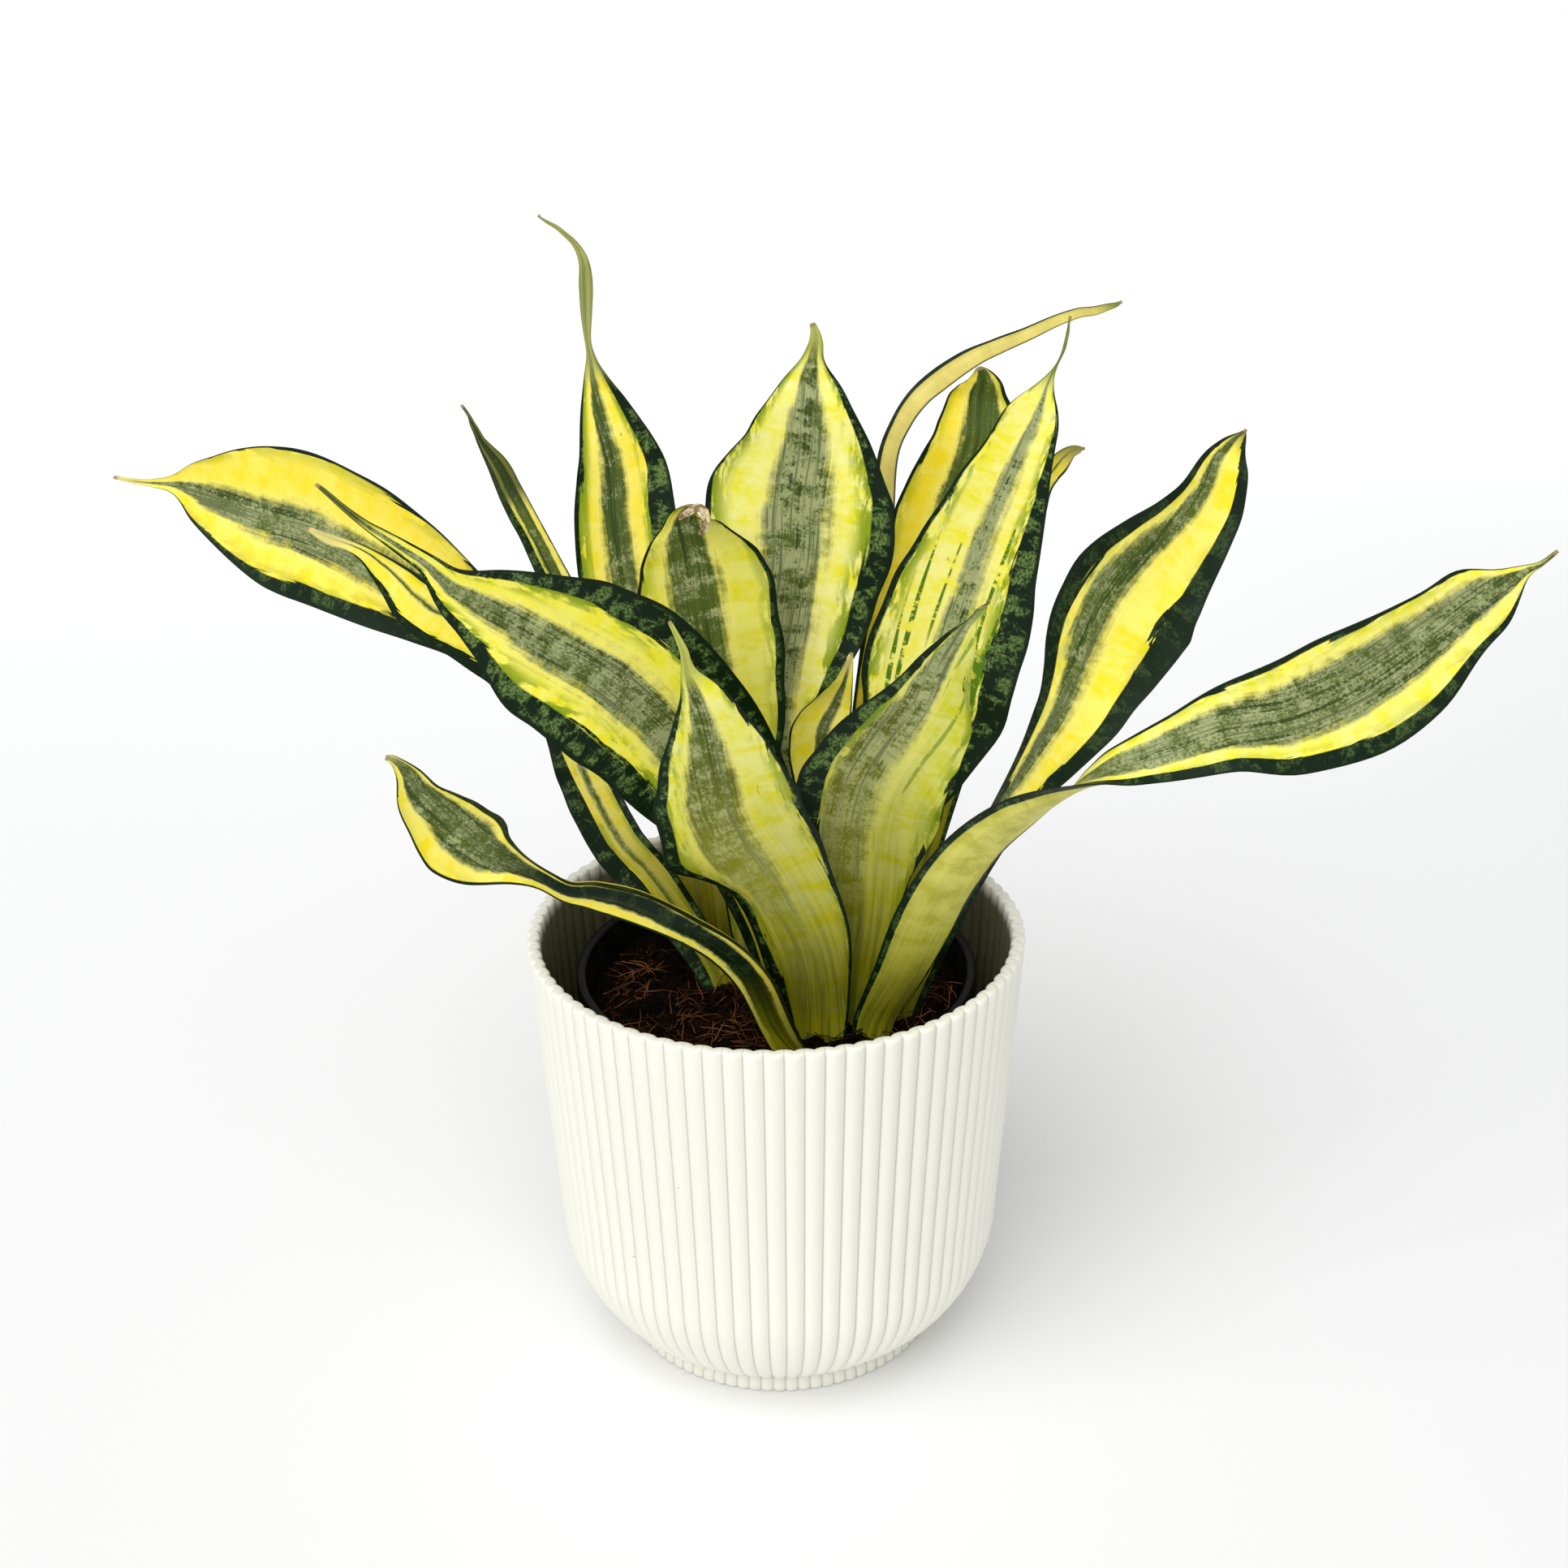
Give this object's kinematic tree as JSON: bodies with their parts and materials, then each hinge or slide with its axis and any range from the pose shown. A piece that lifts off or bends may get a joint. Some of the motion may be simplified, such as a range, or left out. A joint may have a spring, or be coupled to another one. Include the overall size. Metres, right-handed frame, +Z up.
{
  "type": "potted snake plant",
  "caption": "Variegated snake plant with yellow-banded upright and arching leaves, in coir in a black nursery pot inside a cream ribbed cover pot.",
  "frame": {"origin": "centre of the cover pot's underside", "axes": "+Z up along the pot's axis, -Y towards the front, +X to the right as seen from the front"},
  "size_m": [0.3655, 0.1657, 0.3123],
  "materials": {
    "cover_pot": "cream satin plastic with fine vertical ribs",
    "nursery_pot": "thin black plastic",
    "coir": "damp dark brown coir with fibres and bark chips",
    "rhizome": "tan fleshy rhizome",
    "leaf": "waxy leaf with dark green margins, yellow bands and a silver-green centre"
  },
  "bodies": {
    "root": {"cover_pot": "cover_pot", "nursery_pot": "nursery_pot", "coir": "coir", "rhizome": "rhizome", "leaf_far_left": "leaf", "leaf_left_under": "leaf", "leaf_left_broad": "leaf", "leaf_back_left_narrow": "leaf", "leaf_back_left_tall": "leaf", "leaf_centre_tall": "leaf", "leaf_centre_dried_tip": "leaf", "leaf_back_right_arching": "leaf", "leaf_back_right_wide": "leaf", "leaf_right_tall": "leaf", "leaf_back_right_small": "leaf", "leaf_right": "leaf", "leaf_far_right": "leaf", "leaf_front_right": "leaf", "leaf_front": "leaf", "leaf_front_left_folded": "leaf", "leaf_centre_small": "leaf", "leaf_left_low": "leaf"}
  },
  "joints": []
}
